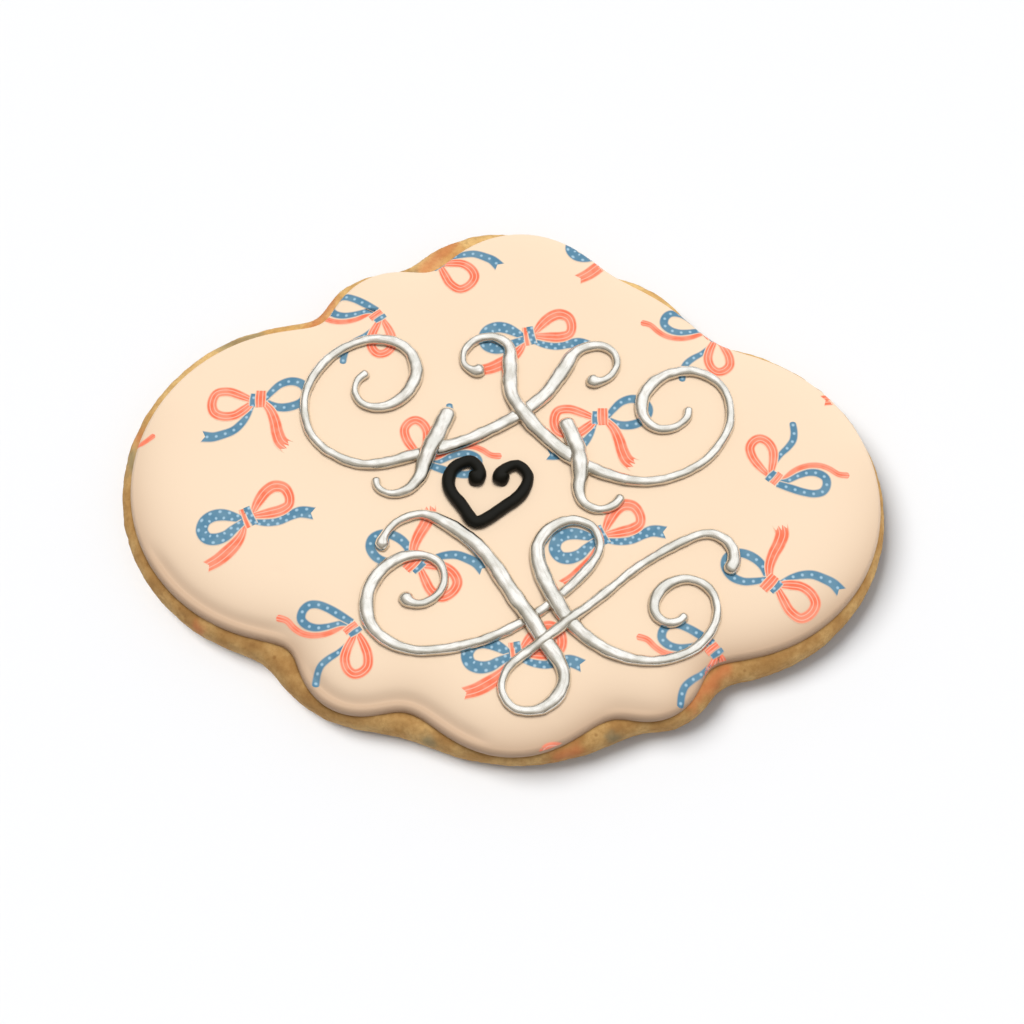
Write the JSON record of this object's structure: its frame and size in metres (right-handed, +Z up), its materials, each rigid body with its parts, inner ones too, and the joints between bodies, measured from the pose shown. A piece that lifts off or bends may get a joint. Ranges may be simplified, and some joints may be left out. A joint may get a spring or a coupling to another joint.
{
  "type": "iced sugar cookie",
  "caption": "Plaque-shaped sugar cookie with smooth cream icing, silver piped scrollwork and a small black piped heart, flat underneath.",
  "frame": {"origin": "middle of the flat underside, on the table", "axes": "+X along the cookie's length, +Y from its near side to its far side as decorated, +Z up through the icing"},
  "size_m": [0.1151, 0.0865, 0.0104],
  "materials": {
    "baked_dough": "dry, fine-grained baked crumb",
    "cream_icing": "smooth set icing with a soft sheen and a printed ribbon-bow pattern",
    "silver_icing": "hand-painted metallic silver over piped icing",
    "black_icing": "satin"
  },
  "bodies": {
    "root": {"cookie": "baked_dough", "icing": "cream_icing", "silver_scroll_upper": "silver_icing", "silver_scroll_lower": "silver_icing", "black_heart_curls": "black_icing"}
  },
  "joints": []
}
